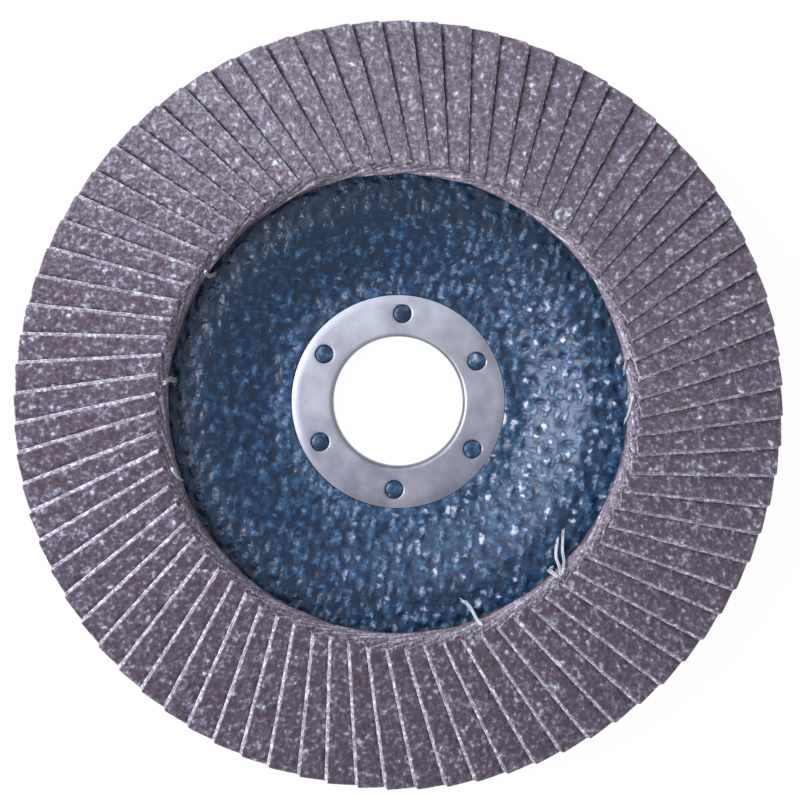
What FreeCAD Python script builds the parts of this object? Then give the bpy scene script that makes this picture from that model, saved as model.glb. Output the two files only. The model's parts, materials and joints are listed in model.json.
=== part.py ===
import FreeCAD, Part
import math
import os

# Flap disc for an angle grinder, in millimetres.
# The disc lies on the back face of its hub, with the abrasive face up. The origin is on the axis of the arbor
# bore, level with that back face. Clock angles run clockwise from +Y, seen from the abrasive face.

# Driving sizes: the bore. From there the sizes add up outwards, to 127 mm over the corners of the flaps
bore_diameter = 22.23

# Driving sizes: the abrasive flaps. Their length is that of the open edge
flap_count = 80
flap_length = 24.0
flap_width = 18.0
flap_thickness = 0.90
grit_clearance = 0.06
open_edge_offset = 10.6
first_flap_clock = 1.44
flaps_per_node = 2

# Driving sizes: the backing plate
plate_thickness = 3.2
hub_recess = 4.2
hub_margin = 2.8
cone_angle = 22.5
root_radius = 6.0
shoulder_radius = 7.0
land_width = 4.84
flap_overhang = 7.5
rim_chamfer = 0.5

# Driving sizes: the steel centre ring
sheet_thickness = 0.5
flange_width = 7.135
lip_radius = 0.8
ring_seat_depth = 0.3
ring_clearance = 0.05
flare_angle = 45.0
flare_depth = 0.9
hole_count = 6
hole_diameter = 3.2
first_hole_clock = 2.7
stud_height = 0.2
stud_clearance = 0.05

# Driving sizes: the adhesive bed
bed_base = 0.3
bed_inset = 0.6
bed_inner_inset = 0.3

# Whatever is closer than this is the same point
same_point = 1e-6

# Radii, from the bore outwards
bore_radius = bore_diameter / 2
collar_radius = bore_radius + sheet_thickness
lip_end_radius = bore_radius + lip_radius
inner_lip_radius = lip_radius - sheet_thickness
ring_radius = bore_radius + flange_width
hole_circle_radius = (lip_end_radius + ring_radius) / 2
hub_radius = ring_radius + hub_margin
cone_slope = math.radians(cone_angle)
bend_rise = (root_radius + shoulder_radius) * (1 - math.cos(cone_slope))
bend_run = (root_radius + shoulder_radius) * math.sin(cone_slope)
cone_run = bend_run + (hub_recess - bend_rise) / math.tan(cone_slope)
land_radius = hub_radius + cone_run
flap_inner_end = land_radius + land_width
flap_outer_end = flap_inner_end + flap_length
disc_radius = math.hypot(flap_outer_end, open_edge_offset)
plate_radius = disc_radius - flap_overhang
bed_inner_radius = flap_inner_end + bed_inner_inset
bed_outer_radius = plate_radius - bed_inset

# Heights, from the back of the hub upwards
land_height = plate_thickness + hub_recess
ring_seat_height = plate_thickness - ring_seat_depth
ring_top = ring_seat_height + sheet_thickness
bed_top = land_height + bed_base

# The collar's flare ends flush with the hub, so its outer side starts to flare further up than its bore
flare_spread = math.tan(math.radians(flare_angle))
flare_top = flare_depth + sheet_thickness * math.tan(math.radians(flare_angle / 2))
flare_bore_foot = bore_radius + flare_depth * flare_spread
flare_outer_foot = collar_radius + flare_top * flare_spread

# The flaps lie on each other at their inner ends, where they are closest, and fan open outwards
flap_pitch = 360.0 / flap_count
half_pitch = math.radians(flap_pitch / 2)
inner_pitch = 2 * flap_inner_end * math.sin(half_pitch)
flap_slope = math.asin((flap_thickness + grit_clearance) / inner_pitch)
buried_edge_offset = open_edge_offset - flap_width * math.cos(flap_slope)
bed_outer_pitch = 2 * bed_outer_radius * math.sin(half_pitch)
tooth_height = bed_outer_pitch * math.tan(flap_slope)

origin = FreeCAD.Vector(0, 0, 0)
y_axis = FreeCAD.Vector(0, 1, 0)
z_axis = FreeCAD.Vector(0, 0, 1)


def corner(radius, height):
    """A sharp corner of a section outline."""
    return [FreeCAD.Vector(radius, 0, height)]


def bend(radius, height, size, start, end):
    """A round stretch of a section outline about a centre, as its first, middle and last points."""
    points = []
    for degrees in (start, (start + end) / 2, end):
        angle = math.radians(degrees)
        points += corner(radius + size * math.cos(angle), height + size * math.sin(angle))
    return points


def turned(outline):
    """The solid of revolution about the bore of an outline of corners and bends."""
    edges = []
    last = outline[-1][-1]
    for stretch in outline:
        if stretch[0].distanceToPoint(last) > same_point:
            edges.append(Part.LineSegment(last, stretch[0]).toShape())
        if len(stretch) == 3:
            edges.append(Part.Arc(*stretch).toShape())
        last = stretch[-1]
    return Part.Face(Part.Wire(edges)).revolve(origin, z_axis, 360)


def turned_to_clock(shape, clock):
    """The shape turned clockwise about the bore, seen from the abrasive face."""
    return shape.rotated(origin, z_axis, -clock)


def round_posts(size, height, bottom):
    """Cylinders standing where the holes of the centre ring are."""
    post = Part.makeCylinder(size / 2, height, FreeCAD.Vector(0, hole_circle_radius, bottom))
    step = 360.0 / hole_count
    return [turned_to_clock(post, first_hole_clock + step * index) for index in range(hole_count)]


def backing_plate():
    """Pressed plate of one thickness: recessed hub, cone and flat land, with a seat for the steel ring."""
    root_centre = plate_thickness + root_radius
    shoulder_centre = land_height - shoulder_radius
    plate = turned([
        corner(collar_radius, flare_top),
        corner(collar_radius, ring_seat_height - inner_lip_radius),
        corner(lip_end_radius, ring_seat_height),
        corner(ring_radius + ring_clearance, ring_seat_height),
        corner(ring_radius + ring_clearance, plate_thickness),
        bend(hub_radius, root_centre, root_radius, 270, 270 + cone_angle),
        bend(land_radius, shoulder_centre, shoulder_radius, 90 + cone_angle, 90),
        corner(plate_radius, land_height),
        corner(plate_radius, hub_recess + rim_chamfer),
        corner(plate_radius - rim_chamfer, hub_recess),
        bend(land_radius, shoulder_centre, shoulder_radius - plate_thickness, 90, 90 + cone_angle),
        bend(hub_radius, root_centre, root_radius + plate_thickness, 270 + cone_angle, 270),
        corner(flare_outer_foot, 0),
    ])
    studs = round_posts(hole_diameter - 2 * stud_clearance, 2 * stud_height, ring_seat_height - stud_height)
    return plate.fuse(studs).removeSplitter()


def centre_ring():
    """Stamped steel eyelet: a flat flange, a rounded lip, a collar in the bore and a flare at the back."""
    lip_centre = ring_top - lip_radius
    halfway = (180 + 90) / 2
    ring = turned([
        corner(bore_radius, flare_depth),
        bend(lip_end_radius, lip_centre, lip_radius, 180, halfway),
        bend(lip_end_radius, lip_centre, lip_radius, halfway, 90),
        corner(ring_radius, ring_top),
        corner(ring_radius, ring_seat_height),
        corner(lip_end_radius, ring_seat_height),
        corner(collar_radius, ring_seat_height - inner_lip_radius),
        corner(collar_radius, flare_top),
        corner(flare_outer_foot, 0),
        corner(flare_bore_foot, 0),
    ])
    holes = round_posts(hole_diameter, 3 * sheet_thickness, ring_seat_height - sheet_thickness)
    return ring.cut(holes)


def sloping_slab(clock, outline, thickness):
    """A flat slab on the slope of the flaps, from its corners across a flap and along it."""
    corners = [FreeCAD.Vector(across, along, 0) for across, along in outline]
    slab = Part.Face(Part.makePolygon(corners + corners[:1])).extrude(z_axis * thickness)
    slab.rotate(origin, y_axis, -math.degrees(flap_slope))
    slab.translate(FreeCAD.Vector(buried_edge_offset, 0, bed_top))
    return turned_to_clock(slab, clock)


def rim_along(across):
    """Where the disc's circle is along a flap, at this distance across it from the buried edge."""
    return math.sqrt(disc_radius ** 2 - (buried_edge_offset + across * math.cos(flap_slope)) ** 2)


def flap(index):
    """One piece of abrasive cloth, with its outer end trimmed to the disc's circle in two straight cuts."""
    outline = [
        (0, flap_inner_end),
        (flap_width, flap_inner_end),
        (flap_width, flap_outer_end),
        (flap_width / 2, rim_along(flap_width / 2)),
        (0, rim_along(0)),
    ]
    return sloping_slab(first_flap_clock + flap_pitch * index, outline, flap_thickness)


def bed_edge(radius):
    """The bed's edge at this radius: one straight side for each flap, from buried edge to buried edge."""
    first_clock = first_flap_clock + math.degrees(math.asin(buried_edge_offset / radius))
    start = turned_to_clock(Part.Vertex(0, radius, land_height), first_clock)
    corners = [turned_to_clock(start, flap_pitch * index).Point for index in range(flap_count)]
    return Part.makePolygon(corners + corners[:1])


def adhesive_bed():
    """Ring of adhesive with a tooth behind each buried edge, and a ramp under each flap."""
    blank_height = bed_base + tooth_height
    edges = [bed_edge(bed_outer_radius), bed_edge(bed_inner_radius)]
    bed = Part.makeFace(edges, "Part::FaceMakerBullseye").extrude(z_axis * blank_height)
    room_width = 1.5 * bed_outer_pitch
    room_start = math.sqrt(bed_inner_radius ** 2 - flap_width ** 2)
    room = [(0, room_start), (room_width, room_start), (room_width, disc_radius), (0, disc_radius)]
    rooms = []
    for index in range(flap_count):
        rooms.append(sloping_slab(first_flap_clock + flap_pitch * index, room, 2 * blank_height))
    return bed.cut(rooms)


def save(name, shape):
    """Write one piece, or one group of like pieces, to its own file."""
    shape.exportStep("parts/" + name + ".step")
    print(name, "solids", len(shape.Solids), "valid", shape.isValid(), "volume", round(shape.Volume, 3))


os.makedirs("parts", exist_ok=True)
save("backing_plate", backing_plate())
save("centre_ring", centre_ring())
save("adhesive_bed", adhesive_bed())
for first in range(0, flap_count, flaps_per_node):
    group = [flap(index) for index in range(first, min(first + flaps_per_node, flap_count))]
    save("flap_pair_%02d" % (first // flaps_per_node + 1), Part.makeCompound(group))
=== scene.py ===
import json
import math

import bmesh
import bpy
import numpy as np
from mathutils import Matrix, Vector


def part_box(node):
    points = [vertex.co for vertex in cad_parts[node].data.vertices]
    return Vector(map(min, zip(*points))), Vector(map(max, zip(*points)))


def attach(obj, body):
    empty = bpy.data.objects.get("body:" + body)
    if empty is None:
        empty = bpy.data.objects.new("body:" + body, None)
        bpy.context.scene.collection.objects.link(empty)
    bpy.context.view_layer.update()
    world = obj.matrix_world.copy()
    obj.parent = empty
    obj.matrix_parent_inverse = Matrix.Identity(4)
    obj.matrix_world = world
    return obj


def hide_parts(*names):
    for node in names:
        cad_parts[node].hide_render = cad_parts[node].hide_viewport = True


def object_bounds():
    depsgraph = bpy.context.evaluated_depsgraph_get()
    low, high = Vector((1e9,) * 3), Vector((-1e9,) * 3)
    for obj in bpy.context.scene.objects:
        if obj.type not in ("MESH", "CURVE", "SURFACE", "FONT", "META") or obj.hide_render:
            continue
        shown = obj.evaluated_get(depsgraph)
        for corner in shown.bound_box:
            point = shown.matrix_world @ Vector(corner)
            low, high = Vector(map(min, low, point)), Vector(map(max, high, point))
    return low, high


# Looks of the flap disc. Lengths are in millimetres until a mesh is made, and clock angles run clockwise
# from +Y, seen from the abrasive face.

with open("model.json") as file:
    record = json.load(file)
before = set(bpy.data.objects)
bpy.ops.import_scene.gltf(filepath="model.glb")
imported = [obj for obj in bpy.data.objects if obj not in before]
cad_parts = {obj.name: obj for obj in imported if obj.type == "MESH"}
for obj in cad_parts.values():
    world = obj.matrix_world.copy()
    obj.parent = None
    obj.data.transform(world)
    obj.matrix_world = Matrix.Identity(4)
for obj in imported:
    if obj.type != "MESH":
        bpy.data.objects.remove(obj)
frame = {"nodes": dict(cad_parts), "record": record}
cad_low, cad_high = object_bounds()

MM = 0.001

# The backing plate's section, as it is pressed
plate_thickness = 3.2
hub_radius = 21.05
cone_angle = 22.5
root_radius = 6.0
shoulder_radius = 7.0
rim_chamfer = 0.5
edge_wear = 0.15
ring_clearance = 0.05
plate_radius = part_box("backing_plate")[1].x / MM
land_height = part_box("backing_plate")[1].z / MM

# The steel ring. The studs of the plate stand in its holes
sheet_thickness = 0.5
lip_radius = 0.8
edge_round = 0.06
margin_width = 1.5
margin_slope = 12.0
hole_round = 0.38
flare_depth = 0.9
flare_angle = 45.0
sharp_angle = 38.0
ring_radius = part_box("centre_ring")[1].x / MM
ring_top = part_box("centre_ring")[1].z / MM
bore_radius = frame["record"]["mounts"][0]["dims"]["r_mm"]
hole_count = 6
hole_radius = 1.5
first_hole_clock = 2.7
stud_top = 3.1
stud_radius = 1.47
stud_bevel = 0.12

# The abrasive flaps. Each climbs clockwise from its buried edge to its open edge
flap_count = 80
flap_length = 24.0
flap_width = 18.0
flap_thickness = 0.9
grit_clearance = 0.06
open_edge_offset = 10.6
first_flap_clock = 1.44
flap_overhang = 7.5
bed_base = 0.3

# The abrasive cloth
open_strip = 5.4
inner_share = 0.66
grit_step = 0.25
coat_level = 0.76
grit_height = 0.15
arris = 0.24
arris_depth = 0.5
fringe = 0.7
grain_size = 0.62
grain_tilt = 1.6
flap_seed = 4100
slide_limit = 0.3
twist_limit = 0.5

# Loose fibres of the cut cloth
end_fibres = 34
edge_fibres = 16
thread_radius = 0.12
strands_per_thread = 9
# Clock where the cut ends fray most; their fibres are also painted palest there, on the side the lamp
# lights: painted light.
fray_and_light_clock = 105.0
# Clock of the root, how far the tip is round from it, and how far inward, how loosely the strands lie, and
# how much of their length lies on the wall
long_threads = (
    (78.0, 5.0, 0.0, 0.2, 1.5), (88.0, 8.0, 0.0, 0.14, 1.2), (137.0, -8.0, 2.9, 0.2, 0.35),
    (136.0, -10.0, 3.1, 0.2, 0.35), (137.6, -1.0, 0.0, 0.3, 0.5), (158.5, 5.0, 3.6, 0.2, 0.35),
    (275.8, -0.8, 0.3, 0.25, 0.9), (254.0, -4.0, 0.0, 0.2, 1.4), (304.5, 0.8, 0.3, 0.25, 0.9),
)

# The glass mesh in the plate
warp_turn = 11.3
weft_turn = 14.8
warp_pitch = 3.33
weft_pitch = 3.45
mesh_relief = 0.3

# How finely the turned pieces are divided
plate_segments = 756
plate_step = 0.29
ring_segments = 240
hole_sides = 48
stud_sides = 40
bead_segments = 480
bead_sides = 7

# The photograph's camera and light
image_half = 400
photo_scale = 6.079
camera_distance = 270.0
camera_up = 15.0
frame_right = 0.3
frame_up = 0.85
sensor_width = 36.0
nearest_seen = 10.0
lamp_distance = 320.0
wide_clock = 312.0
wide_elevation = 38.0
wide_size = 520.0
wide_level = 0.92
small_clock = 268.0
small_elevation = 51.0
small_size = 130.0
small_level = 0.7
fill_level = 0.35
floor_reach = 3000.0
floor_drop = 0.02
white_level = 0.965

# Sizes of the plate and the ring that follow from those above
cone_slope = math.radians(cone_angle)
recess = land_height - plate_thickness
bends = root_radius + shoulder_radius
land_radius = hub_radius + bends * math.sin(cone_slope)
land_radius += (recess - bends * (1 - math.cos(cone_slope))) / math.tan(cone_slope)
ring_seat = ring_top - sheet_thickness
collar_radius = bore_radius + sheet_thickness
hole_circle_radius = (bore_radius + lip_radius + ring_radius) / 2
flare_top = flare_depth + sheet_thickness * math.tan(math.radians(flare_angle / 2))

# Sizes of the flaps that follow from those above
disc_radius = plate_radius + flap_overhang
flap_outer_end = math.sqrt(disc_radius ** 2 - open_edge_offset ** 2)
flap_inner_end = flap_outer_end - flap_length
inner_pitch = 2 * flap_inner_end * math.sin(math.pi / flap_count)
flap_slope = math.asin((flap_thickness + grit_clearance) / inner_pitch)
buried_edge_offset = open_edge_offset - flap_width * math.cos(flap_slope)

# No cloth or thread reaches past these, so the scene stays inside the CAD model's box
widest = disc_radius - 0.01
highest = cad_high.z / MM - 0.01


def colour(red, green, blue):
    """A linear colour from 0 to 255 screen values."""
    linear = []
    for value in (red, green, blue):
        part = value / 255
        linear.append(part / 12.92 if part <= 0.04045 else ((part + 0.055) / 1.055) ** 2.4)
    return (*linear, 1.0)


def hashed(column, row, seed):
    """A random value from 0 to 1 for each whole-number cell."""
    mixed = (column * 374761393 + row * 668265263 + seed * 362437) & 0xFFFFFFFF
    mixed = ((mixed ^ (mixed >> 13)) * 1274126177) & 0xFFFFFFFF
    return ((mixed ^ (mixed >> 16)) & 0xFFFF) / 65535.0


def smooth_noise(across, along, size, seed):
    """Smooth random values from 0 to 1, with features of about this size."""
    column = np.floor(across / size).astype(np.int64)
    row = np.floor(along / size).astype(np.int64)
    part_across = across / size - column
    part_along = along / size - row
    part_across = part_across ** 2 * (3 - 2 * part_across)
    part_along = part_along ** 2 * (3 - 2 * part_along)
    near = hashed(column, row, seed) * (1 - part_across)
    near += hashed(column + 1, row, seed) * part_across
    far = hashed(column, row + 1, seed) * (1 - part_across)
    far += hashed(column + 1, row + 1, seed) * part_across
    return near * (1 - part_along) + far * part_along


def step(value, low, high):
    """A smooth step of the value between two levels."""
    part = np.clip((value - low) / (high - low), 0, 1)
    return part * part * (3 - 2 * part)


def placed(name, data):
    """A new object of the scene with this mesh, light or camera."""
    made = bpy.data.objects.new(name, data)
    bpy.context.scene.collection.objects.link(made)
    return made


def build(name, vertices, faces, material, smooth=False, coat=None):
    """A mesh piece of the disc, from vertices in millimetres, with an optional coat value for each."""
    mesh = bpy.data.meshes.new(name)
    mesh.from_pydata((np.asarray(vertices) * MM).tolist(), [], faces)
    mesh.validate()
    mesh.materials.append(material)
    if smooth:
        mesh.shade_smooth()
    else:
        mesh.shade_flat()
    if coat is not None:
        layer = mesh.color_attributes.new(name="coat", type="FLOAT_COLOR", domain="POINT")
        layer.data.foreach_set("color", np.asarray(coat, np.float32).ravel())
    piece = placed(name, mesh)
    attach(piece, "root")
    return piece


class Nodes:
    """The node tree of a material or the world, built with short calls."""

    def __init__(self, owner, output="OutputMaterial"):
        """The owner's tree, emptied but for its output."""
        owner.use_nodes = True
        self.owner = owner
        self.tree = owner.node_tree
        self.tree.nodes.clear()
        self.output = self.add(output)

    def put(self, socket, value):
        """A value, or a link from another node's socket."""
        if isinstance(value, bpy.types.NodeSocket):
            self.tree.links.new(value, socket)
        else:
            socket.default_value = value

    def add(self, kind, inputs=None, **settings):
        """A new node with these settings and inputs."""
        node = self.tree.nodes.new("ShaderNode" + kind)
        for key, value in settings.items():
            setattr(node, key, value)
        for key, value in (inputs or {}).items():
            self.put(node.inputs[key], value)
        return node

    def place(self, scale=(1, 1, 1)):
        """Coordinates fixed to the disc, and scaled."""
        spot = self.add("TexCoord").outputs["Object"]
        return self.add("Mapping", {"Vector": spot, "Scale": scale}).outputs["Vector"]

    def cells(self, width, height, turn, spread, ragged):
        """Distance to the nearest spot of a turned lattice in millimetres, and each spot's random values."""
        spot = self.add("TexCoord").outputs["Object"]
        place = self.add("Mapping", {"Vector": spot}, vector_type="TEXTURE")
        place.inputs["Rotation"].default_value = (0, 0, math.radians(-turn))
        place.inputs["Scale"].default_value = (width * MM, height * MM, 1)
        wander = self.add("TexNoise", {"Vector": spot, "Scale": 1300.0, "Detail": 3.0}).outputs["Color"]
        wander = self.add("VectorMath", {0: wander, 1: (ragged, ragged, 0)}, operation="MULTIPLY")
        place = self.add("VectorMath", {0: place.outputs[0], 1: wander.outputs[0]}, operation="ADD")
        node = self.add("TexVoronoi", {"Vector": place.outputs[0], "Scale": 1.0, "Randomness": spread},
                        voronoi_dimensions="2D")
        return node.outputs["Distance"], self.add("SeparateColor", {"Color": node.outputs["Color"]}).outputs

    def math(self, operation, first, second=0.0, third=0.0):
        """One operation on up to three values."""
        node = self.add("Math", operation=operation)
        for socket, value in zip(node.inputs, (first, second, third)):
            self.put(socket, value)
        return node.outputs[0]

    def between(self, value, low, high, to_low=0.0, to_high=1.0):
        """The value's place between two levels, as a smooth step."""
        levels = {"Value": value, "From Min": low, "From Max": high, "To Min": to_low, "To Max": to_high}
        return self.add("MapRange", levels, interpolation_type="SMOOTHSTEP").outputs["Result"]

    def mix(self, share, first, second):
        """One colour mixed into another."""
        node = self.add("Mix", {6: first, 7: second}, data_type="RGBA")
        self.put(node.inputs["Factor"], share)
        return node.outputs[2]

    def ramp(self, value, stops):
        """A colour ramp over the value."""
        node = self.add("ValToRGB", {"Fac": value})
        elements = node.color_ramp.elements
        while len(elements) < len(stops):
            elements.new(0.5)
        for element, (position, shade) in zip(elements, stops):
            element.position = position
            element.color = shade
        return node.outputs["Color"]

    def noise(self, vector, scale, detail=2.0, rough=0.5):
        """Smooth noise, with this many features a metre."""
        levels = {"Vector": vector, "Scale": scale, "Detail": detail, "Roughness": rough}
        return self.add("TexNoise", levels).outputs["Fac"]

    def bump(self, height, depth, strength=1.0, under=None):
        """A bumped normal, on top of another one if it is given."""
        node = self.add("Bump", {"Height": height, "Distance": depth, "Strength": strength})
        if under is not None:
            self.put(node.inputs["Normal"], under)
        return node.outputs["Normal"]

    def shown(self):
        """1 for what the camera sees, directly or in gloss or through glass, and 0 for light on the disc."""
        path = self.add("LightPath")
        seen = self.math("MAXIMUM", path.outputs["Is Camera Ray"], path.outputs["Is Glossy Ray"])
        return self.math("MAXIMUM", seen, path.outputs["Is Transmission Ray"])

    def surface(self, shader):
        """The owner, with this shader as its surface."""
        self.put(self.output.inputs["Surface"], shader.outputs[0])
        return self.owner

    def finish(self, base, roughness, normal, **values):
        """The material, with these inputs of its principled shader."""
        shader = self.add("BsdfPrincipled", {"Base Color": base, "Roughness": roughness, "Normal": normal})
        for key, value in values.items():
            shader.inputs[key.replace("_", " ")].default_value = value
        return self.surface(shader)


def abrasive_cloth():
    """Grit in a purple-grey size coat on pale cloth, whose cut edges are frayed and almost white."""
    n = Nodes(bpy.data.materials.new("abrasive_cloth"))
    spot = n.place()
    coat = n.add("Attribute", attribute_name="coat").outputs["Color"]
    parts = n.add("SeparateColor", {"Color": coat})
    grit, grain, yarn = parts.outputs[0], parts.outputs[1], parts.outputs[2]
    speck = n.noise(spot, 1200, 2.0, 0.6)
    patch = n.noise(spot, 420, 2.0)
    shade = n.math("MULTIPLY_ADD", speck, 1.5, -0.7)
    shade = n.math("MULTIPLY_ADD", grain, 0.7, shade)
    shade = n.math("MULTIPLY_ADD", patch, 0.35, n.math("ADD", shade, -0.155))
    gritty = n.ramp(shade, [
        (0.1, colour(75, 61, 75)),
        (0.46, colour(91, 80, 96)),
        (0.65, colour(117, 111, 131)),
        (0.81, colour(157, 161, 183)),
        (1.0, colour(212, 221, 238)),
    ])
    tuft = n.math("MULTIPLY_ADD", n.noise(spot, 1500, 3.0, 0.65), 1.3, -0.5)
    cloth = n.ramp(n.math("MULTIPLY_ADD", yarn, 0.85, tuft), [
        (0.1, colour(80, 60, 75)),
        (0.45, colour(108, 91, 107)),
        (0.75, colour(149, 141, 160)),
        (0.92, colour(190, 189, 206)),
        (1.0, colour(226, 230, 240)),
    ])
    base = n.mix(grit, cloth, gritty)
    roughness = n.math("MULTIPLY_ADD", grit, -0.62, 0.95)
    waves = n.bump(n.noise(spot, 620, 0.0), 0.2 * MM, 0.3)
    fine = n.bump(n.noise(spot, 2600, 2.0, 0.6), 0.04 * MM, 0.5, waves)
    return n.finish(base, roughness, fine, Specular_IOR_Level=0.3, Specular_Tint=(0.86, 0.88, 1.0, 1.0))


def plate_tone(n, spot, cloud, fleck, strong):
    """How pale the resin is: mottled and paler on the mesh's crowns, with a painted sheen in the hub,
    painted shade towards the upper left, the top and the bottom and in the flap wall's shadow near the rim,
    and crowns painted paler towards the lower right, where the lamp glints.
    """
    coat = n.add("Attribute", attribute_name="coat").outputs["Color"]
    weave = n.add("SeparateColor", {"Color": coat}).outputs[0]
    apart = n.add("SeparateXYZ", {"Vector": spot})
    x, y = apart.outputs[0], apart.outputs[1]
    away = n.add("VectorMath", {0: spot}, operation="LENGTH").outputs["Value"]
    # Painted shade: the resin is darker towards the upper left, where the cone faces away from the lamps.
    corner = n.math("MULTIPLY_ADD", x, 0.7, n.math("MULTIPLY", y, -0.7))
    # Painted highlight: the crowns' pale flecks are painted stronger towards the lower right, where the lamp
    # glints on them.
    glint_side = n.between(n.math("MULTIPLY_ADD", y, -0.35, x), -26 * MM, 22 * MM, 0.28, 1.0)
    strong = n.math("MULTIPLY", strong, glint_side)
    tone = n.math("MULTIPLY_ADD", cloud, 1.35, n.math("MULTIPLY_ADD", weave, 0.16, -0.52))
    tone = n.math("MULTIPLY_ADD", corner, 3.5, n.math("MULTIPLY_ADD", fleck, 0.2, tone))
    # Painted shade: the resin is darker towards the top and the bottom.
    tone = n.math("MULTIPLY_ADD", n.math("MULTIPLY", y, y), -90.0, tone)
    # Painted sheen: the resin is paler in the hub.
    tone = n.math("ADD", tone, n.between(away, 19.5 * MM, 23.5 * MM, 0.06, 0.0))
    # Painted shadow: the resin is darker in the band that the flap wall shades.
    tone = n.math("ADD", tone, n.between(away, 30.5 * MM, 34 * MM, 0.0, -0.1))
    return n.math("MULTIPLY_ADD", strong, 0.6, tone)


def plate_resin():
    """Glossy dark blue resin over glass mesh, whose crowns stand out as paler flecks."""
    n = Nodes(bpy.data.materials.new("plate_resin"))
    spot = n.place()
    cloud = n.noise(spot, 750, 3.0, 0.6)
    upright, upright_chance = n.cells(warp_pitch / 2, weft_pitch, warp_turn, 0.6, 0.75)
    level, level_chance = n.cells(warp_pitch * 0.66, weft_pitch / 2, weft_turn, 0.65, 0.75)
    upright = n.math("MULTIPLY", n.between(upright, 0.42, 0.08), n.between(upright_chance[0], 0.15, 0.6))
    level = n.math("MULTIPLY", n.between(level, 0.36, 0.08), n.between(level_chance[0], 0.3, 0.7))
    fleck = n.math("MAXIMUM", upright, level)
    strong_upright = n.math("MULTIPLY", upright, upright_chance[1])
    strong = n.math("MAXIMUM", strong_upright, n.math("MULTIPLY", level, level_chance[1]))
    base = n.ramp(plate_tone(n, spot, cloud, fleck, strong), [
        (0.1, colour(6, 34, 58)),
        (0.32, colour(28, 62, 94)),
        (0.52, colour(53, 91, 127)),
        (0.72, colour(98, 118, 148)),
        (0.86, colour(142, 144, 166)),
        (1.0, colour(198, 205, 216)),
    ])
    waves = n.bump(cloud, 0.1 * MM, 0.5)
    normal = n.bump(fleck, 0.13 * MM, 0.8, waves)
    roughness = n.math("MULTIPLY_ADD", cloud, 0.16, n.math("MULTIPLY_ADD", fleck, -0.05, 0.24))
    return n.finish(base, roughness, normal, Specular_IOR_Level=0.41, Specular_Tint=(0.8, 0.8, 1.0, 1.0))


def ring_steel():
    """Stamped steel with a soft, slightly brushed surface, with a painted reflection: lighter towards the
    top and left, darker towards the bottom.
    """
    n = Nodes(bpy.data.materials.new("ring_steel"))
    spot = n.place()
    cloud = n.noise(spot, 190, 3.0, 0.55)
    grain = n.noise(n.place((1, 6, 1)), 2600, 2.0)
    apart = n.add("SeparateXYZ", {"Vector": spot})
    # Painted reflection: the steel is lighter towards the top and left and darker towards the bottom.
    side = n.math("MULTIPLY_ADD", apart.outputs[0], -5.0, n.math("MULTIPLY", apart.outputs[1], 15.0))
    mottled = n.math("MULTIPLY_ADD", grain, 0.2, n.math("MULTIPLY_ADD", cloud, 0.9, -0.05))
    base = n.ramp(n.math("ADD", side, mottled), [
        (0.1, colour(110, 108, 126)),
        (0.5, colour(138, 140, 155)),
        (0.9, colour(161, 166, 179)),
    ])
    roughness = n.math("MULTIPLY_ADD", cloud, 0.16, 0.34)
    normal = n.bump(grain, 0.01 * MM, 0.5)
    return n.finish(base, roughness, normal, Metallic=1.0)


def bed_adhesive():
    """Cured adhesive, brown-red and uneven."""
    n = Nodes(bpy.data.materials.new("bed_adhesive"))
    spot = n.place()
    base = n.ramp(n.noise(spot, 900, 3.0, 0.6), [
        (0.3, colour(62, 50, 58)),
        (0.6, colour(98, 82, 90)),
        (0.8, colour(126, 116, 126)),
    ])
    normal = n.bump(n.noise(spot, 2400, 3.0), 0.1 * MM, 0.8)
    return n.finish(base, 0.5, normal)


def grains(slope, along, rng):
    """Height and shade of angular grains packed on a flap, at points up its slope and along its length."""
    spare_cells, facets, nothing = 8, 4, -9.0
    rows = int(open_strip / grain_size) + spare_cells
    columns = int((flap_length + 3) / grain_size) + spare_cells
    shape = (rows, columns)
    centre_slope = (np.arange(rows)[:, None] - 3 + rng.uniform(0.0, 1.0, shape)) * grain_size
    centre_along = (np.arange(columns)[None, :] - 3 + rng.uniform(0.0, 1.0, shape)) * grain_size
    tops = rng.uniform(0.3, 1.0, shape)
    shades = rng.uniform(0.0, 1.0, shape)
    steep = rng.uniform(0.9, 2.4, shape)
    turns = rng.uniform(0, 2 * math.pi, shape)
    lean_slope = rng.uniform(-grain_tilt, grain_tilt, shape)
    lean_along = rng.uniform(-grain_tilt, grain_tilt, shape)
    row = np.floor(slope / grain_size).astype(int) + 3
    column = np.floor(along / grain_size).astype(int) + 3
    height = np.full(slope.shape, nothing)
    shade = np.zeros(slope.shape)
    for step_row in range(-2, 3):
        for step_column in range(-2, 3):
            pick = (np.clip(row + step_row, 0, rows - 1), np.clip(column + step_column, 0, columns - 1))
            away_slope = slope - centre_slope[pick]
            away_along = along - centre_along[pick]
            side = np.full(slope.shape, nothing)
            for facet in range(facets):
                angle = turns[pick] + facet * 2 * math.pi / facets + 0.35 * math.sin(facet * 2.1)
                side = np.maximum(side, away_slope * np.cos(angle) + away_along * np.sin(angle))
            top = tops[pick] + lean_slope[pick] * away_slope + lean_along[pick] * away_along
            rise = np.minimum(top, tops[pick] * 1.12 - steep[pick] * side)
            higher = rise > height
            height = np.where(higher, rise, height)
            shade = np.where(higher, shades[pick], shade)
    return np.clip(height, 0, 1), shade


def laid(number, slope, along, rise):
    """Points on a flap, up its slope, along it from the axis and above its back, brought to its place."""
    clock = math.radians(first_flap_clock + 360 / flap_count * number)
    across = buried_edge_offset + slope * math.cos(flap_slope) - rise * math.sin(flap_slope)
    height = land_height + bed_base + slope * math.sin(flap_slope) + rise * math.cos(flap_slope)
    within = np.minimum(1, widest / np.hypot(across, along))
    across, along = across * within, along * within
    return np.stack([
        across * math.cos(clock) + along * math.sin(clock),
        along * math.cos(clock) - across * math.sin(clock),
        np.minimum(height, highest),
    ], -1)


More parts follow.
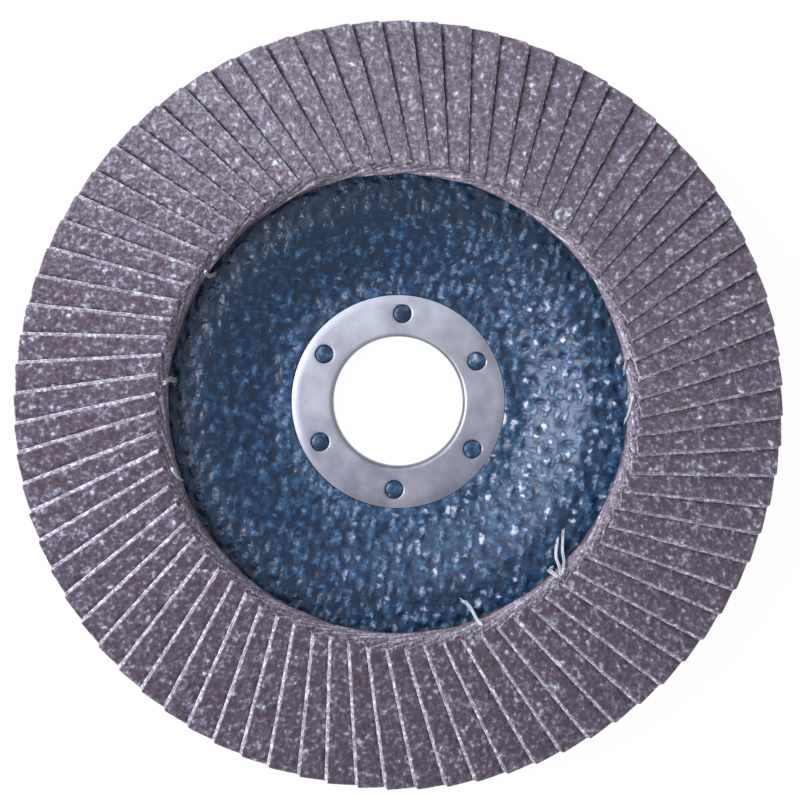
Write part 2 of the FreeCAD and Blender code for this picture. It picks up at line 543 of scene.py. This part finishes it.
def flap_grid():
    """Points of a flap's face: up its slope, as a share of its length, and their share of the relief."""
    even_from = 0.8
    near_edge = [0.0, 0.07, 0.15, 0.24, 0.35, 0.48, 0.64]
    near_start = [0.0, 0.08, 0.18, 0.32]
    near_end = np.array([0.3, 0.16, 0.07, 0.0])
    buried_rows = np.array([0.0, 0.25, 0.5, 0.75, 0.97])
    inward = np.concatenate([near_edge, np.arange(even_from, open_strip, grit_step)])
    even = np.arange(0.5, flap_length - 0.45, grit_step)
    parts = np.concatenate([near_start, even, flap_length - near_end]) / flap_length
    inward, part = np.meshgrid(inward, parts, indexing="ij")
    fan = inner_share + (1 - inner_share) * part
    inward = np.where(inward > even_from, even_from + (inward - even_from) * fan, inward)
    buried = buried_rows[:, None] * (flap_width - inward[-1])[None, :]
    slope = np.concatenate([buried, (flap_width - inward)[::-1]])
    part = np.concatenate([part[:len(buried)], part])
    relief = np.concatenate([np.zeros(len(buried)), np.ones(len(inward))])
    relief[len(buried)] = 0.5
    return slope, part, np.repeat(relief[:, None], slope.shape[1], 1)


def worn_face(number, slope, along, reach, relief, rng):
    """Height of a flap's face above its back, and its coat: how gritty, the grit's shade and the yarn's."""
    height, shade = grains(slope - flap_width + open_strip, along, rng)
    chip = arris + 0.1 * smooth_noise(along, slope * 0, 0.55, number + 7)
    chip = chip + 0.12 * step(smooth_noise(along, slope * 0, 0.9, number + 9), 0.7, 0.95)
    end_chip = 0.15 + 0.25 * smooth_noise(slope, along * 0, 0.5, number + 8) ** 2
    from_open = (flap_width - slope) / chip
    from_end = np.minimum(along, reach - along) / end_chip
    whole = step(from_open, 0.8, 1.15)
    bevel = coat_level - arris_depth * (1 - np.clip(from_open, 0, 1))
    thread = smooth_noise(along * 1.6, slope * 2.5, 0.33, number + 11)
    level = coat_level + grit_height * (height - 0.3) * relief
    level = bevel + 0.06 * (thread - 0.5) * (from_open < 1.2) + (level - bevel) * whole
    ends = 0.5 + (level - 0.5) * np.sqrt(np.clip(from_end, 0, 1))
    level = np.minimum(level, np.maximum(ends, 0.2))
    grit = np.minimum(whole, step(from_end, 0.2, 0.8))
    grit = grit * np.maximum(relief, step(along, fringe, fringe + 0.3))
    glow = 0.15 + 0.45 * shade + 0.35 * height
    yarn = 0.5 + 0.45 * thread + 0.25 * step(chip, 0.38, 0.5)
    return level, np.stack([grit, glow, yarn, np.ones_like(grit)], -1)


def uneven_laying(rng):
    """A function that turns and shifts one flap's points a little, because no flap lies quite true."""
    middle_up, middle_out = flap_width * 0.8, flap_length / 2
    twist = math.radians(np.clip(rng.normal(0, 0.2), -twist_limit, twist_limit))
    slide = np.clip(rng.normal(-0.1, 0.12), -slide_limit, -0.02)

    def moved(up, out):
        """From up the slope and along the flap to up the slope and out from the axis."""
        turned_up = (up - middle_up) * math.cos(twist) - (out - middle_out) * math.sin(twist)
        turned_out = (up - middle_up) * math.sin(twist) + (out - middle_out) * math.cos(twist)
        return turned_up + middle_up + slide, turned_out + middle_out + flap_inner_end

    return moved


def flap(number):
    """Vertices, faces and coat values of one flap: grit on its open strip, frayed cut edges, cloth below."""
    rng = np.random.default_rng(flap_seed + number)
    slope, part, relief = flap_grid()
    across = buried_edge_offset + slope * math.cos(flap_slope)
    reach = np.sqrt(disc_radius ** 2 - across ** 2) - flap_inner_end
    along = part * reach
    level, coat = worn_face(number, slope, along, reach, relief, rng)

    corner = np.clip(0.4 - (flap_width - slope) - (reach - along), 0, 1) * 0.6
    shown_slope = slope - corner
    shown_along = along - corner
    moved = uneven_laying(rng)
    uneven = 0.35 * (smooth_noise(slope, slope * 0, 1.1, number + 31) - 0.6) + rng.uniform(-0.2, 0.1)
    shown_along = shown_along - uneven * np.clip(1 - part * 4, 0, 1)
    up, out = moved(shown_slope, shown_along)
    points = [laid(number, up, out, level).reshape(-1, 3)]
    coats = [coat.reshape(-1, 4)]
    rows, columns = slope.shape
    index = np.arange(rows * columns).reshape(rows, columns)
    faces = np.stack([index[:-1, :-1], index[1:, :-1], index[1:, 1:], index[:-1, 1:]], -1)
    faces = faces.reshape(-1, 4).tolist()

    loop = np.concatenate([index[:-1, 0], index[-1, :-1], index[:0:-1, -1], index[0, :0:-1]])
    loop_slope, loop_along = shown_slope.ravel()[loop], shown_along.ravel()[loop]
    loop_part = part.ravel()[loop]
    out_slope = np.where(slope.ravel()[loop] > flap_width - 1e-6, 1.0, 0.0)
    out_along = np.where(loop_part > 1 - 1e-6, 0.5, np.where(loop_part < 1e-6, -1.0, 0.0))
    top = level.ravel()[loop]
    above = loop
    for layer, share in enumerate((0.7, 0.35, 0.0)):
        fray = smooth_noise(loop_slope * 1.3 + loop_along, loop_slope, 0.32, number * 5 + layer)
        fray = 0.2 * (fray - 0.5)
        fray = np.where(out_along < 0, 2.2 * fray + 0.1, fray if layer < 2 else fray * 0.4)
        up, out = moved(loop_slope + out_slope * fray, loop_along + out_along * fray)
        points.append(laid(number, up, out, top * share))
        thread = smooth_noise(loop_slope + loop_along, loop_slope * 0, 0.3, number * 3 + layer)
        no_grit = np.zeros(len(loop))
        side = np.where(out_along < 0, 0.38, 0.8)
        coats.append(np.stack([no_grit, no_grit, side + 0.3 * thread, np.ones(len(loop))], -1))
        below = index.size + layer * len(loop) + np.arange(len(loop))
        faces += np.stack([above, below, np.roll(below, -1), np.roll(above, -1)], -1).tolist()
        above = below
    faces.append(above[::-1].tolist())
    return np.concatenate(points), faces, np.concatenate(coats)


def flap_pairs(material):
    """One piece for each CAD node of two flaps."""
    for node in sorted(name for name in frame["nodes"] if name.startswith("flap_pair")):
        vertices, faces, coats = [], [], []
        for side in range(2):
            points, more, coat = flap(2 * int(node[-2:]) - 2 + side)
            shift = sum(len(part) for part in vertices)
            vertices.append(points)
            coats.append(coat)
            faces += [[corner + shift for corner in face] for face in more]
        name = node.replace("flap_pair", "abrasive_flaps")
        piece = build(name, np.concatenate(vertices), faces, material, False,
                      np.concatenate(coats))
        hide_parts(node)


def arc(radius, height, size, start, end, steps):
    """Points of a round stretch of a section, as radius and height."""
    angles = np.radians(np.linspace(start, end, steps + 1))
    return [(radius + size * math.cos(a), height + size * math.sin(a)) for a in angles]


def circle(middle, radius, height, sides):
    """Points of a level circle."""
    angles = np.arange(sides) * 2 * math.pi / sides
    return np.stack([middle[0] + radius * np.cos(angles), middle[1] + radius * np.sin(angles),
                     np.full(sides, height)], -1)


def revolved(section, segments):
    """Vertices and faces of a closed section turned about the bore."""
    angles = np.arange(segments) * 2 * math.pi / segments
    section = np.array(section)
    vertices = np.stack([
        section[None, :, 0] * np.cos(angles)[:, None],
        section[None, :, 0] * np.sin(angles)[:, None],
        np.repeat(section[None, :, 1], segments, 0),
    ], -1).reshape(-1, 3)
    size = len(section)
    here = np.arange(segments)[:, None] * size + np.arange(size)[None, :]
    there = np.roll(here, -1, 0)
    faces = np.stack([here, there, np.roll(there, -1, 1), np.roll(here, -1, 1)], -1)
    return vertices, faces.reshape(-1, 4).tolist()


def hole_middles():
    """Where the middles of the ring's holes are."""
    middles = []
    for hole in range(hole_count):
        clock = math.radians(first_hole_clock + 360 / hole_count * hole)
        middles.append(np.array([math.sin(clock), math.cos(clock)]) * hole_circle_radius)
    return middles


def front_height(radius):
    """Height of the plate's front face at this distance from the axis."""
    root_end = hub_radius + root_radius * math.sin(cone_slope)
    shoulder_start = land_radius - shoulder_radius * math.sin(cone_slope)
    if radius < hub_radius:
        return plate_thickness
    if radius < root_end:
        return plate_thickness + root_radius - math.sqrt(root_radius ** 2 - (radius - hub_radius) ** 2)
    if radius < shoulder_start:
        start = plate_thickness + root_radius * (1 - math.cos(cone_slope))
        return start + (radius - root_end) * math.tan(cone_slope)
    if radius < land_radius:
        return land_height - shoulder_radius + math.sqrt(shoulder_radius ** 2 - (land_radius - radius) ** 2)
    return land_height


def crowns(across, along, size, seed):
    """Height and strength of the nearest spot, one in each cell of a lattice, out of place and uneven."""
    height = np.full(across.shape, -1.0)
    strength = np.zeros(across.shape)
    for step_across in (-1, 0, 1):
        for step_along in (-1, 0, 1):
            column = np.floor(across).astype(np.int64) + step_across
            row = np.floor(along).astype(np.int64) + step_along
            jitter = [hashed(column, row, seed + number) for number in range(5)]
            away_across = across - column - 0.5 - 0.3 * (jitter[0] - 0.5)
            away_across = away_across / (size[0] * (0.6 + 0.8 * jitter[2]))
            away_along = (along - row - 0.5 - 0.5 * (jitter[1] - 0.5)) / (size[1] * (0.5 + jitter[3]))
            bump = 1 - away_across ** 2 - away_along ** 2
            bump = bump + 0.5 * away_across * away_along * (jitter[0] - 0.5)
            higher = bump > height
            height = np.where(higher, bump, height)
            strength = np.where(higher, jitter[4], strength)
    return np.clip(height, 0, 1), strength


def glass_mesh(x, y):
    """Height of the strands under the resin, height of their crowns, and depth of the pits between them."""
    warp, weft = math.radians(warp_turn), math.radians(weft_turn)
    across = (x * math.cos(warp) + y * math.sin(warp)) / warp_pitch
    along = (y * math.cos(weft) - x * math.sin(weft)) / weft_pitch
    across = across + 0.3 * (smooth_noise(x, y, 7.0, 21) - 0.5) + 0.12 * (smooth_noise(x, y, 1.1, 22) - 0.5)
    along = along + 0.3 * (smooth_noise(x, y, 7.0, 23) - 0.5) + 0.12 * (smooth_noise(x, y, 1.1, 24) - 0.5)
    off_column = across - np.floor(across) - 0.5
    off_row = along - np.floor(along) - 0.5
    column = np.exp(-(off_column / 0.2) ** 2) * (0.8 + 0.2 * np.cos(2 * math.pi * along))
    row = np.exp(-(off_row / 0.19) ** 2) * (0.7 + 0.2 * np.cos(2 * math.pi * across))
    strands = np.maximum(column, row)
    upright, upright_strength = crowns(across, along * 2, (0.1, 0.42), 100)
    level, level_strength = crowns(across * 2, along, (0.32, 0.11), 200)
    crown = np.maximum(upright * upright_strength, level * level_strength)
    pit = crowns(across + 0.5, along + 0.5, (0.24, 0.24), 300)[0]
    return strands, crown, pit


def studs(first):
    """Vertices and faces of the plate's studs, for a mesh that already has this many vertices."""
    outline = (
        (stud_radius, ring_seat - 0.2), (stud_radius, stud_top - 0.1), (stud_radius - stud_bevel, stud_top),
        (0.6, stud_top + 0.02),
    )
    around = np.arange(stud_sides)
    vertices, faces = [], []
    for middle in hole_middles():
        for radius, height in outline:
            vertices.append(circle(middle, radius, height, stud_sides))
        for level in range(len(outline) - 1):
            here = first + level * stud_sides + around
            there = here + stud_sides
            faces += np.stack([here, np.roll(here, -1), np.roll(there, -1), there], -1).tolist()
        faces.append((first + (len(outline) - 1) * stud_sides + around).tolist())
        faces.append((first + around)[::-1].tolist())
        first += len(outline) * stud_sides
    return np.concatenate(vertices), faces


def backing_plate(material):
    """The pressed plate: its strands in relief on the front face, its ring seat and its studs."""
    front_start, front_end = ring_radius + 0.13, flap_inner_end + 0.9
    seat_part = [
        (collar_radius, flare_top), (collar_radius, ring_seat - 0.3), (collar_radius + 0.3, ring_seat),
        (ring_radius + ring_clearance, ring_seat),
        (ring_radius + ring_clearance, plate_thickness - 0.08),
    ]
    front = [(radius, front_height(radius)) for radius in np.arange(front_start, front_end, plate_step)]
    rim_part = [
        (plate_radius - edge_wear, land_height), (plate_radius, land_height - edge_wear),
        (plate_radius, recess + rim_chamfer), (plate_radius - rim_chamfer, recess),
    ]
    back_part = arc(land_radius, land_height - shoulder_radius, shoulder_radius - plate_thickness,
                    90, 90 + cone_angle, 5)
    back_part += arc(hub_radius, plate_thickness + root_radius, root_radius + plate_thickness,
                     270 + cone_angle, 270, 6)
    section = seat_part + front + rim_part + back_part + [(collar_radius + flare_top, 0)]
    vertices, faces = revolved(section, plate_segments)
    x, y = vertices[:, 0], vertices[:, 1]
    place = np.arange(len(section)) - len(seat_part)
    on_front = np.tile((place >= 0) & (place < len(front)), plate_segments)
    strands, crown, pit = glass_mesh(x, y)
    waves = smooth_noise(x, y, 0.9, 52) + smooth_noise(x, y, 2.3, 51)
    fade = step(np.hypot(x, y), front_start, front_start + 0.5)
    fade = fade * (1 - step(np.hypot(x, y), flap_inner_end - 0.3, flap_inner_end + 0.3))
    relief = 0.3 * strands + 0.4 * crown - 0.62 * pit + 0.2 * (waves - 1)
    vertices[:, 2] += np.where(on_front, mesh_relief * (relief - 0.2) * fade, 0)
    coats = np.stack([strands - 0.8 * pit, crown, pit, np.ones(len(pit))], -1) * on_front[:, None]
    stud_vertices, stud_faces = studs(len(vertices))
    stud_coats = np.tile([0.3, 0.0, 0.0, 1.0], (len(stud_vertices), 1))
    piece = build("resin_plate", np.concatenate([vertices, stud_vertices]), faces + stud_faces, material,
                  True, np.concatenate([coats, stud_coats]))
    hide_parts("backing_plate")


def ring_section():
    """The ring's closed section, and the places in it where its top and its underside start and end."""
    lip = arc(bore_radius + lip_radius, ring_top - lip_radius, lip_radius, 180, 90, 9)
    dome = margin_width / math.sin(math.radians(margin_slope))
    rim = arc(ring_radius - edge_round - margin_width, ring_top - dome, dome, 90, 90 - margin_slope, 6)
    rim += arc(ring_radius - edge_round, rim[-1][1] - edge_round, edge_round, 90 - margin_slope, 0, 4)
    inner_lip = lip_radius - sheet_thickness
    inside = [(bore_radius, flare_depth), (bore_radius, flare_depth + 0.1)] + lip
    outside = inside + rim + [(ring_radius, ring_seat)]
    section = outside + [
        (collar_radius + inner_lip, ring_seat), (collar_radius, ring_seat - inner_lip),
        (collar_radius, flare_top), (collar_radius + flare_top, 0), (bore_radius + flare_depth, 0),
    ]
    return section, (len(inside) - 1, len(inside)), (len(outside) - 1, len(outside))


def ring_hole(mesh, middle):
    """The rolled wall of one hole, with its upper and its lower edge."""
    wall_radius = hole_radius + hole_round
    outline = arc(wall_radius, ring_top - hole_round, hole_round, 90, 180, 6) + [(hole_radius, ring_seat)]
    rings = []
    for radius, height in outline:
        points = circle(middle, radius, height, hole_sides)
        rings.append([mesh.verts.new(Vector(point) * MM) for point in points])
    for upper, lower in zip(rings, rings[1:]):
        for k in range(hole_sides):
            following = (k + 1) % hole_sides
            mesh.faces.new([upper[k], lower[k], lower[following], upper[following]])
    return rings[0], rings[-1]


def filled(mesh, loops, normal):
    """Fill the level face between these loops."""
    edges = []
    for loop in loops:
        for first, second in zip(loop, loop[1:] + loop[:1]):
            edges.append(mesh.edges.get((first, second)) or mesh.edges.new((first, second)))
    bmesh.ops.triangle_fill(mesh, use_beauty=True, edges=edges, normal=normal)


def centre_ring(material):
    """The stamped ring: rounded lip, flat flange with six holes, rolled edges and a flare at the back."""
    section, top, underside = ring_section()
    vertices, faces = revolved(section, ring_segments)
    size = len(section)
    mesh = bmesh.new()
    made = [mesh.verts.new(Vector(point) * MM) for point in vertices]
    for face in faces:
        if {face[0] % size, face[2] % size} not in (set(top), set(underside)):
            mesh.faces.new([made[corner] for corner in face])
    top_loops = [made[place::size] for place in top]
    under_loops = [made[place::size] for place in underside]
    for middle in hole_middles():
        upper, lower = ring_hole(mesh, middle)
        top_loops.append(upper)
        under_loops.append(lower)
    filled(mesh, top_loops, (0, 0, 1))
    filled(mesh, under_loops, (0, 0, -1))
    bmesh.ops.recalc_face_normals(mesh, faces=mesh.faces)
    data = bpy.data.meshes.new("steel_ring")
    mesh.to_mesh(data)
    mesh.free()
    data.materials.append(material)
    data.shade_smooth()
    data.set_sharp_from_angle(angle=math.radians(sharp_angle))
    piece = placed("steel_ring", data)
    even = piece.modifiers.new("even", "WEIGHTED_NORMAL")
    even.keep_sharp = True
    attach(piece, "root")
    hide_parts("centre_ring")


def adhesive(material):
    """The bed of adhesive as it lies in the CAD model, with an uneven bead along its inner edge."""
    source = frame["nodes"]["adhesive_bed"].data
    positions = np.empty(len(source.vertices) * 3)
    source.vertices.foreach_get("co", positions)
    vertices = [positions.reshape(-1, 3) / MM]
    faces = [list(polygon.vertices) for polygon in source.polygons]
    inner = np.hypot(vertices[0][:, 0], vertices[0][:, 1]).min()
    around = np.arange(bead_segments) * 2 * math.pi / bead_segments
    length = around * 38
    swell = 0.3 + 0.3 * smooth_noise(length, around * 0, 1.7, 61)
    swell = swell + 0.16 * smooth_noise(length, around * 0, 0.6, 62)
    bead = []
    for side in range(bead_sides):
        angle = math.pi * side / (bead_sides - 1)
        reach = inner + 0.25 - swell * math.sin(angle) * 0.9
        height = land_height + 0.9 * swell * (1 - math.cos(angle)) / 2 * 2.1 - 0.02
        bead.append(np.stack([reach * np.cos(around), reach * np.sin(around), height], -1))
    bead.append(circle((0, 0), inner + 0.4, land_height + 0.2, bead_segments))
    base = len(vertices[0])
    rings = len(bead)
    for ring in range(rings):
        here = base + ring * bead_segments + np.arange(bead_segments)
        there = base + ((ring + 1) % rings) * bead_segments + np.arange(bead_segments)
        faces += np.stack([here, there, np.roll(there, -1), np.roll(here, -1)], -1).tolist()
    piece = build("adhesive", np.concatenate(vertices + bead), faces, material, False)
    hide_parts("adhesive_bed")


def tube(path, radius, thinning):
    """Vertices and faces of a thin fibre along these points, thinner at its far end."""
    path = np.array(path)
    size = len(path)
    vertices, faces = [], []
    for number, point in enumerate(path):
        ahead = path[min(number + 1, size - 1)] - path[max(number - 1, 0)]
        ahead = ahead / np.linalg.norm(ahead)
        side = np.cross(ahead, (0.3, 0.2, 1.0))
        side = side / np.linalg.norm(side)
        other = np.cross(ahead, side)
        thin = radius * (1 - thinning * number / (size - 1))
        for corner in range(3):
            angle = 2 * math.pi * corner / 3
            vertices.append(point + thin * (side * math.cos(angle) + other * math.sin(angle)))
    for number in range(size - 1):
        for corner in range(3):
            here, there = 3 * number + corner, 3 * number + (corner + 1) % 3
            faces.append([here, there, there + 3, here + 3])
    faces += [[2, 1, 0], [3 * size - 3, 3 * size - 2, 3 * size - 1]]
    return vertices, faces


def fibre(number, start, heading, length, rng):
    """Points of a short curved fibre, drawn up its flap's slope, along it and above its back."""
    stretches = 3
    points = [np.array(start)]
    heading = np.array(heading)
    for _ in range(stretches):
        heading = heading + rng.normal(0, 0.35, 3)
        heading = heading / np.linalg.norm(heading)
        points.append(points[-1] + heading * length / stretches)
    points = np.array(points)
    points[:, 0] = np.minimum(points[:, 0], flap_width + 0.25)
    points[:, 2] = np.clip(points[:, 2], 0.02, coat_level + 0.08)
    return laid(number, points[:, 0], points[:, 1], points[:, 2])


def long_thread(clock, drift, reach, loose, held, rng):
    """Points of one strand of a pulled thread that hangs from the inner wall and lies on the plate."""
    points = []
    sway = rng.uniform(-1, 1, 3)
    end = rng.uniform(0.75, 1.0)
    top = cad_high.z / MM - 0.6
    top_radius = flap_inner_end + 0.1
    foot_radius = flap_inner_end - 0.7
    for share in np.linspace(0, end, 12):
        fall = min(1.0, share / held)
        radius = top_radius + (foot_radius - top_radius) * fall - reach * max(0.0, share - 0.15) / 0.85
        angle = math.radians(clock + drift * share + 0.8 * math.sin(4.0 * share + clock))
        angle += loose * (sway[1] + 1.5 * share * sway[2]) / radius
        rest = front_height(radius) + 0.35 + 0.5 * loose * (1 + sway[2])
        height = rest + (top - rest) * (1 - fall) ** 1.3
        radius += loose * sway[0]
        points.append((radius * math.sin(angle), radius * math.cos(angle), height))
    return points


def threads(material):
    """Loose fibres on the flaps' cut inner ends and open edges, and a few pulled threads."""
    rng = np.random.default_rng(flap_seed)
    vertices, faces, shades = [], [], []

    def keep(path, radius, shade, thinning=0.6):
        """Add one fibre to the piece."""
        points, more = tube(path, radius, thinning)
        shift = len(vertices)
        vertices.extend(points)
        shades.extend([[0.0, 0.0, shade, 1.0]] * len(points))
        faces.extend([[corner + shift for corner in face] for face in more])

    for number in range(flap_count):
        frayed = 1 + 0.7 * math.cos(math.radians(360 / flap_count * number - fray_and_light_clock))
        for _ in range(end_fibres):
            start = (flap_width - 0.2 - 3.6 * rng.random(), flap_inner_end + 0.1, rng.uniform(0.05, 0.75))
            heading = (rng.normal(0, 1.2), -1.0, rng.normal(-0.2, 0.6))
            path = fibre(number, start, heading, rng.uniform(0.3, 1.0) * frayed, rng)
            radius = rng.uniform(0.04, 0.09) * (0.6 + 0.5 * frayed)
            # Painted light: fibres are paler where the ends fray most, on the lit side of the wall.
            keep(path, radius, rng.uniform(0.1, 0.55) + 0.25 * frayed)
        for _ in range(edge_fibres):
            start = (flap_width - 0.35, flap_inner_end + 23.2 * rng.random(), rng.uniform(0.3, 0.7))
            heading = (0.6, rng.normal(0, 0.9), rng.normal(0.2, 0.3))
            path = fibre(number, start, heading, rng.uniform(0.2, 0.5), rng)
            keep(path, rng.uniform(0.025, 0.045), rng.uniform(0.1, 0.65))
    for clock, drift, reach, loose, held in long_threads:
        for _ in range(strands_per_thread):
            path = long_thread(clock, drift, reach, loose, held, rng)
            keep(path, thread_radius, rng.uniform(0.95, 1.3), 0.4)
    vertices = np.array(vertices)
    vertices[:, :2] *= np.minimum(1, widest / np.hypot(vertices[:, 0], vertices[:, 1]))[:, None]
    vertices[:, 2] = np.minimum(vertices[:, 2], highest)
    build("cloth_threads", vertices, faces, material, True, shades)


def white_floor():
    """A floor that shows white and keeps a faint shadow."""
    edge, drop = floor_reach * MM, -floor_drop * MM
    mesh = bpy.data.meshes.new("floor")
    corners = [(-edge, -edge, drop), (edge, -edge, drop), (edge, edge, drop), (-edge, edge, drop)]
    mesh.from_pydata(corners, [], [(0, 1, 2, 3)])
    floor = placed("floor", mesh)
    n = Nodes(bpy.data.materials.new("floor"))
    bounce = n.add("BsdfDiffuse", {"Color": (0.8, 0.8, 0.8, 1)})
    faint = n.add("BsdfDiffuse", {"Color": (0.07, 0.07, 0.07, 1)})
    glow = n.add("Emission", {"Color": (1, 1, 1, 1), "Strength": white_level})
    white = n.add("AddShader", {0: faint.outputs[0], 1: glow.outputs[0]})
    mesh.materials.append(n.surface(
        n.add("MixShader", {0: n.shown(), 1: bounce.outputs[0], 2: white.outputs[0]})
    ))


def white_world():
    """A world that shows white and lights the disc faintly."""
    world = bpy.data.worlds.new("studio")
    bpy.context.scene.world = world
    n = Nodes(world, "OutputWorld")
    strength = n.math("MULTIPLY_ADD", n.shown(), 1 - fill_level, fill_level)
    n.surface(n.add("Background", {"Color": (1, 1, 1, 1), "Strength": strength}))


def round_lamp(name, clock, elevation, size, level):
    """A soft round lamp that points at the disc. Its level is about the light that it throws there."""
    clock, lift = math.radians(clock), math.radians(elevation)
    aside = math.cos(lift)
    towards = Vector((math.sin(clock) * aside, math.cos(clock) * aside, math.sin(lift)))
    data = bpy.data.lights.new(name, "AREA")
    data.shape = "DISK"
    data.size = size * MM
    data.energy = level * math.pi ** 2 * (lamp_distance * MM) ** 2
    lamp = placed(name, data)
    lamp.location = towards * lamp_distance * MM
    lamp.rotation_euler = towards.to_track_quat("Z", "Y").to_euler()


def photo_camera():
    """The photograph's camera, which looks straight down from a spot a little off the axis."""
    half_view = image_half / photo_scale
    data = bpy.data.cameras.new("camera")
    data.sensor_width = sensor_width
    data.lens = sensor_width / 2 * camera_distance / half_view
    data.shift_x = frame_right / (2 * half_view)
    data.shift_y = (frame_up - camera_up) / (2 * half_view)
    data.clip_start = nearest_seen * MM
    camera = placed("camera", data)
    camera.location = (0, camera_up * MM, cad_high.z + camera_distance * MM)
    bpy.context.scene.camera = camera


cloth = abrasive_cloth()
flap_pairs(cloth)
threads(cloth)
backing_plate(plate_resin())
centre_ring(ring_steel())
adhesive(bed_adhesive())
white_floor()
white_world()
round_lamp("wide_lamp", wide_clock, wide_elevation, wide_size, wide_level)
round_lamp("small_lamp", small_clock, small_elevation, small_size, small_level)
photo_camera()
bpy.context.scene.view_settings.view_transform = "Standard"
